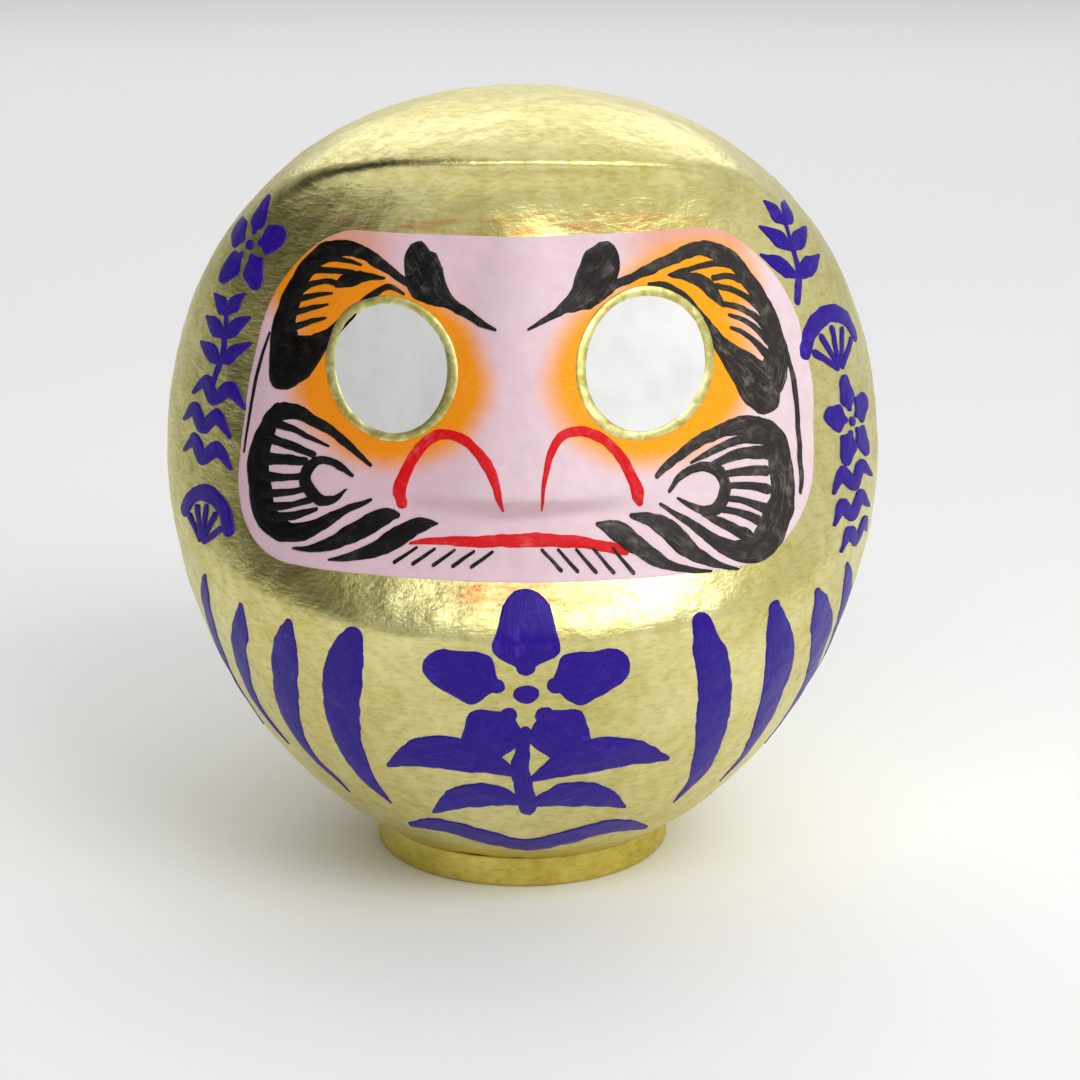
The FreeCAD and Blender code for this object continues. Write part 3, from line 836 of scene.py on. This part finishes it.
def gold_foil(name, light, deep, roughness, crumple):
    """Gold foil paper burnished on to a paper body: hammered dents, fibres and a drift in tone."""
    foil = Finish(name, Metallic=1.0)
    drift = foil.noise(foil.place, 20.0, 4.0).between(0.34, 0.66)
    cloud = foil.noise(foil.place, 210.0, 5.0).between(0.35, 0.7)
    fibre = foil.noise(foil.place, 1.0, 5.0, (330.0, 330.0, 1000.0), Distortion=0.5)
    strand = foil.noise(foil.place, 1.0, 3.0, (1700.0, 1700.0, 420.0), Distortion=0.3)
    hammered = foil.noise(foil.place, 145.0, 2.0)
    dimples = foil.noise(foil.place, 480.0, 2.0)
    tone = foil.mix(drift * 0.45 + cloud * 0.3 + fibre.between(0.42, 0.72) * 0.35, light, deep)
    foil.set(Base_Color=tone)
    foil.set(Roughness=roughness + 0.18 * fibre + 0.08 * drift)
    foil.bump(hammered * 0.48 + dimples * 0.26 + fibre * 0.3 + strand * 0.12, crumple * MM)
    return foil


def overspray(foil):
    """Orange dust from the face's airbrush, on the gold above and just below the face."""
    across, forward, level = foil.separate(foil.place)
    facing = forward.between(-30.0 * MM, -60.0 * MM)
    streaks = foil.noise(foil.place, 1.0, 4.0, (90.0, 60.0, 420.0)).between(0.42, 0.72)
    above = level.between(207.0 * MM, 209.0 * MM) * level.between(217.0 * MM, 209.5 * MM)
    above = above * across.math("ABSOLUTE").between(74.0 * MM, 45.0 * MM)
    sides = (across / (27.0 * MM)) * (across / (27.0 * MM))
    drop = (level - 111.5 * MM) / (6.5 * MM)
    below = (sides + drop * drop).between(1.0, 0.0) * 0.9
    amount = facing * (streaks * above * 0.7 + (0.4 + 0.5 * streaks) * below)
    base = foil.shader.inputs["Base Color"].links[0].from_socket
    return foil.set(Base_Color=foil.mix(amount, Wire(foil, base), colour(206, 104, 34)))


def face_paint():
    """Pink face colour with orange airbrushed round the eyes, both painted darker towards -X as a painted
    shade on the side away from the key light.
    """
    paint = Finish("airbrushed_face_paint", Specular_IOR_Level=0.16)
    across, _, level = paint.separate(paint.place)
    broken = paint.noise(paint.place, 45.0, 3.0) - 0.5
    # Painted shade: the pink is darker towards -X, away from the key light, and lighter towards the lit +X
    # side.
    pink_with_painted_shade = paint.mix(across.between(-60.0 * MM, 60.0 * MM), colour(216, 184, 194), colour(234, 210, 216))
    clouded = paint.noise(paint.place, 240.0, 4.0).between(0.3, 0.75) * 0.25
    pink_with_painted_shade = paint.mix(clouded, pink_with_painted_shade, colour(205, 172, 188))

    def glow(centre_across, centre_level, half_across, half_level, inner):
        aside = (across - centre_across * MM) / (half_across * MM)
        above = (level - centre_level * MM) / (half_level * MM)
        reach = aside * aside + above * above + broken * 0.25
        return reach.between(1.0, inner)

    left = glow(-39.0, 169.0, 34.0, 29.5, 0.5).math("MAXIMUM", glow(-54.0, 189.0, 25.0, 17.0, 0.35))
    right = glow(37.0, 169.5, 35.0, 29.5, 0.5).math("MAXIMUM", glow(47.0, 190.5, 26.0, 17.0, 0.3))
    sprayed = left.math("MAXIMUM", right)
    speckle = paint.noise(paint.place, 1600.0, 2.0).between(0.3, 0.7)
    amount = (sprayed * (0.94 + 0.12 * speckle)).math("MINIMUM", 1.0)
    # Painted shade: the orange is darker towards -X, away from the key light, and brighter towards the lit
    # +X side.
    orange_with_painted_shade = paint.mix(across.between(-50.0 * MM, 50.0 * MM), colour(236, 138, 0), colour(255, 164, 0))
    corners = glow(-58.0, 205.0, 26.0, 12.0, 0.1).math("MAXIMUM", glow(50.0, 206.0, 26.0, 11.0, 0.1))
    tone = paint.mix(corners * 0.65, pink_with_painted_shade, colour(222, 140, 84))
    paint.set(Base_Color=paint.mix(amount, tone, orange_with_painted_shade))
    brushed = paint.noise(paint.place, 1.0, 4.0, (160.0, 160.0, 600.0))
    paint.set(Roughness=0.36 + 0.16 * brushed)
    return paint.bump(brushed * 0.5 + paint.noise(paint.place, 110.0, 3.0) * 0.8, 0.35 * MM).material


def eye_white():
    """Bare white ground of an eye that is still to be painted in, painted greyer towards -X as a painted
    shade away from the key light.
    """
    paint = Finish("eye_white_paint", Roughness=0.5)
    cloud = paint.noise(paint.place, 70.0, 4.0).between(0.3, 0.7)
    across, _, _ = paint.separate(paint.place)
    # Painted shade: the white is greyer towards -X and brighter towards the lit +X side.
    white = paint.mix(across.between(-50.0 * MM, 50.0 * MM), colour(208, 208, 206), colour(234, 233, 231))
    paint.set(Base_Color=paint.mix(cloud * 0.5, white, colour(204, 206, 207)))
    fine = paint.noise(paint.place, 520.0, 3.0)
    return paint.bump(fine * 0.5 + cloud * 0.5, 0.15 * MM).material


def ring_gold():
    """Brushed-on gold paint of the eye rings, duller than the foil."""
    paint = Finish("gold_ring_paint", Metallic=0.85)
    streak = paint.noise(paint.place, 190.0, 4.0, Distortion=1.2)
    fine = paint.noise(paint.place, 900.0, 2.0)
    paint.set(Base_Color=paint.mix(streak.between(0.3, 0.7), colour(232, 226, 160), colour(182, 174, 88)))
    paint.set(Roughness=0.34 + 0.2 * streak)
    return paint.bump(streak * 0.8 + fine * 0.2, 0.14 * MM).material


def brush_paint(name, body, thin, dry, roughness, sheen_and_wear_colour=None):
    """Opaque brush paint: body colour, thinner streaks between hairs, and a dryness of 0 to 1.

    A lighter colour, partly a painted sheen on the lit side and partly dry-brush wear, takes over towards
    the doll's +X side, where the thin streaks also show more."""
    paint = Finish(name, Specular_IOR_Level=0.2)
    streaks = paint.bristles()
    mottle = paint.noise(paint.place, 330.0, 5.0, Distortion=0.5)
    patches = paint.noise(paint.place, 90.0, 3.0).between(0.4, 0.65)
    hairs = streaks.between(0.5, 0.8)
    wear_and_sheen = (mottle.between(0.48, 0.75) * 0.6 + hairs * 0.7) * (0.3 + 0.7 * patches) * dry
    if sheen_and_wear_colour is not None:
        # Painted sheen with real wear: towards the lit +X side the body turns to the lighter colour and the
        # thin streaks show more.
        across, _, _ = paint.separate(paint.place)
        wear_and_sheen = wear_and_sheen * across.between(-90.0 * MM, 60.0 * MM)
        body = paint.mix(across.between(-30.0 * MM, 80.0 * MM), body, sheen_and_wear_colour)
    paint.set(Base_Color=paint.mix(wear_and_sheen.math("MINIMUM", 1.0), body, thin))
    paint.set(Roughness=roughness + 0.2 * mottle)
    return paint.bump(streaks * 0.6 + mottle * 0.5, 0.25 * MM).material


def clay():
    """Unfired clay mixed with pulp: a dry, pitted, fingered surface."""
    body = Finish("raw_clay", Roughness=0.92)
    patches = body.noise(body.place, 55.0, 5.0)
    pits = body.noise(body.place, 480.0, 4.0)
    body.set(Base_Color=body.mix(patches.between(0.3, 0.7), colour(176, 152, 122), colour(142, 118, 92)))
    return body.bump(patches * 0.6 + pits * 0.5, 1.2 * MM).material


def board():
    """Grey chipboard of the disc under the foot, with recycled flecks."""
    card = Finish("grey_board", Roughness=0.85)
    pulp = card.noise(card.place, 120.0, 5.0)
    flecks = card.noise(card.place, 1.0, 3.0, (900.0, 420.0, 900.0)).between(0.62, 0.72)
    tone = card.mix(pulp.between(0.3, 0.7), colour(182, 176, 162), colour(160, 153, 138))
    card.set(Base_Color=card.mix(flecks * 0.6, tone, colour(104, 98, 88)))
    return card.bump(pulp * 0.7 + flecks * 0.2, 0.3 * MM).material


def studio_white():
    return Finish("studio_white", Roughness=0.9, Base_Color=colour(250, 250, 250)).material


# ------------------------------------------------------------------ the doll

PALE_GOLD = colour(236, 228, 164)
DEEP_GOLD = colour(196, 184, 100)
# The painted panel's corners, each (arc, level, rounding radius), and the eyes: each a centre, half
# sizes of the white and of the ring, as (across, level), and where its brush wobble starts.
FACE_CORNERS = [
    (-98.5, 207, 32), (-100.3, 163, 80), (-92.4, 114.6, 27),
    (93.5, 114.4, 39), (106.6, 162, 60), (103.5, 208, 33)]
EYES = {
    "left": ((-37.3, 170.3), (16.1, 17.4), (19.2, 19.8), 0.3),
    "right": ((34.7, 171.8), (17.0, 18.2), (19.9, 21.0), 1.9)}


def build_face(skin):
    outline = rounded_outline(FACE_CORNERS, 400)
    face = filled_sheet("face_paint", outline, 64, 0.0, PAINT_DEPTH, skin, face_paint())
    place_piece(face, "pink_face_paint", "face_coat")
    lap, white_thickness, ring_thickness = 1.0, 0.15, 0.45
    for side, (centre, white_half, ring_half, phase) in EYES.items():
        white_edge = drawn_oval(*centre, *white_half, 0.006, phase)
        ring_edge = drawn_oval(*centre, *ring_half, 0.009, phase + 1.0)
        lapped = drawn_oval(*centre, white_half[0] + lap, white_half[1] + lap, 0.006, phase)
        white = filled_sheet("eye_white_paint_" + side, lapped, 22, PAINT_DEPTH, white_thickness,
                             skin, eye_white())
        place_piece(white, "eye_white_paint", "eye_white_" + side)
        ring = ring_sheet("eye_ring_paint_" + side, ring_edge, white_edge, 14, PAINT_DEPTH,
                          ring_thickness, skin, ring_gold())
        place_piece(ring, "gold_ring_paint", "eye_ring_" + side)


def build_seam_strip(skin, finish):
    """A foil-covered paper strip over the slit down the back, its long edges torn by hand."""
    half, low, high, thickness, edge_share = 8.0, 40.0, 202.0, 0.4, 0.05
    across = np.concatenate([[-1.0, -0.985, -0.95], np.linspace(-0.88, 0.88, 22), [0.95, 0.985, 1.0]])
    above = thickness * np.sqrt(np.minimum((1.0 - np.abs(across)) / edge_share, 1.0))
    around = np.concatenate([across, across[-2:0:-1]])
    heights = np.concatenate([above, np.full(len(across) - 2, SHEET_UNDER)])
    middle = math.pi * UNROLL_RADIUS
    rings = []
    for level in np.linspace(low, high, 140):
        girth = float(FORM.radius(np.array([math.pi]), np.array([level]))[0]) / UNROLL_RADIUS
        torn = 1.0 + 0.03 * math.sin(0.9 * level) + 0.02 * math.sin(2.3 * level + 1.0)
        arcs = middle + around * half * torn / girth
        rings.append(np.column_stack([arcs, np.full(len(around), level), heights]))
    poles = [[middle, low, 0.0], [middle, high, 0.0]]
    return patch_tree().made("seam_strip", loft("seam_strip_flat", rings, poles), Skin=skin, Finish=finish)


def build_marks(skin):
    # The black's last colour is a painted sheen towards the lit +X side, together with more dry-brush wear
    # there.
    black = brush_paint("black_brush_paint", colour(8, 7, 7), colour(136, 126, 116), 1.0, 0.22,
                        colour(46, 41, 38))
    red = brush_paint("red_brush_paint", colour(214, 2, 16), colour(240, 120, 128), 0.6, 0.28)
    violet = brush_paint("violet_brush_paint", colour(37, 0, 134), colour(92, 62, 190), 0.6, 0.3)
    on_face = {"Ground": PAINT_DEPTH * MM}
    groups = {
        "brow_left": (BROW_LEFT, black, on_face), "brow_right": (BROW_RIGHT, black, on_face),
        "beard_left": (BEARD_LEFT, black, on_face), "beard_right": (BEARD_RIGHT, black, on_face),
        "chin_hairs": (CHIN_HAIRS, black, on_face),
        "nostril_left": (NOSTRIL_LEFT, red, on_face), "nostril_right": (NOSTRIL_RIGHT, red, on_face),
        "mouth": (MOUTH, red, on_face),
        "robe_folds_left": (ROBE_LEFT, violet, {}), "robe_folds_right": (ROBE_RIGHT, violet, {}),
        "belly_emblem": (BELLY_EMBLEM, violet, {}),
        "side_ornaments_left": (SIDE_ORNAMENTS_LEFT, violet, {}),
        "side_ornaments_right": (SIDE_ORNAMENTS_RIGHT, violet, {})}
    for seed, (name, (strokes, finish, values)) in enumerate(groups.items()):
        place_piece(painted(name, strokes, skin, finish, Seed=float(seed), **values), finish.name)


def build_doll():
    body_foil = overspray(gold_foil("gold_foil_paper", PALE_GOLD, DEEP_GOLD, 0.22, 0.5)).material
    strip_foil = gold_foil("gold_foil_strip", PALE_GOLD, DEEP_GOLD, 0.26, 0.5).material
    foot_gold = gold_foil("gold_foot_paint", colour(230, 214, 118), colour(192, 172, 66), 0.34, 0.4)
    skin = build_skin(body_foil)
    place_piece(skin, "gold_foil_paper", "body_shell")
    place_piece(build_foot(foot_gold.material), "gold_foot", "foot_ring")
    place_piece(build_seam_strip(skin, strip_foil), "gold_foil_strip", "back_seam_strip")
    build_face(skin)
    build_marks(skin)
    for node, finish in (("clay_weight", clay()), ("base_disc", board())):
        bpy.data.objects[node].material_slots[0].material = finish


# ------------------------------------------------------------------ studio

DOLL_MIDDLE = Vector((0.0, 0.0, 0.12))


def build_camera():
    camera = bpy.data.objects.new("camera", bpy.data.cameras.new("camera"))
    camera.data.sensor_width = 36.0
    camera.data.lens = 93.7
    camera.data.shift_x = 0.0162
    camera.data.clip_end = 20.0
    camera.location = (0.0, -0.85, 0.3485)
    aim = Vector((0.0, 0.0, 0.09826)) - camera.location
    camera.rotation_euler = aim.to_track_quat("-Z", "Y").to_euler()
    bpy.context.scene.collection.objects.link(camera)
    bpy.context.scene.camera = camera


def area_light(name, place, size, power):
    light = bpy.data.lights.new(name, "AREA")
    light.shape = "RECTANGLE"
    light.size, light.size_y = size
    light.energy = power
    lamp = bpy.data.objects.new(name, light)
    lamp.location = place
    aim = DOLL_MIDDLE - Vector(place)
    lamp.rotation_euler = aim.to_track_quat("-Z", "Y").to_euler()
    bpy.context.scene.collection.objects.link(lamp)


def build_floor():
    half = 6.0
    corners = [(-half, -half, 0), (half, -half, 0), (half, half, 0), (-half, half, 0)]
    mesh = bpy.data.meshes.new("floor")
    mesh.from_pydata(corners, [], [(0, 1, 2, 3)])
    mesh.materials.append(studio_white())
    floor = bpy.data.objects.new("floor", mesh)
    bpy.context.scene.collection.objects.link(floor)


def build_room():
    """White studio light, a little stronger from the right, with one dark corner high on the left."""
    area_light("key_softbox", (0.75, -0.95, 1.15), (0.9, 0.7), 7.5)
    area_light("front_softbox", (0.2, -1.3, 1.6), (2.2, 0.45), 9.0)
    area_light("top_softbox", (0.1, 0.45, 1.4), (1.6, 0.9), 1.6)
    area_light("backdrop_light", (0.0, 2.4, 1.6), (3.0, 1.0), 14.0)
    world = bpy.data.worlds.new("studio")
    world.use_nodes = True
    room = Nodes(world.node_tree)
    across, back, up = room.separate(room.node("ShaderNodeTexCoord", out="Generated"))
    towards_corner = across * -0.82 + back * -0.1 + up * 0.56
    dark_corner = towards_corner.between(0.66, 0.98)
    sky = world.node_tree.nodes["Background"]
    sky.inputs["Color"].default_value = (1.0, 1.0, 1.0, 1.0)
    room.join(0.6 + 0.14 * across - 0.5 * dark_corner, sky.inputs["Strength"])
    bpy.context.scene.world = world
    bpy.context.scene.view_settings.view_transform = "Standard"


build_doll()
build_floor()
build_room()
build_camera()
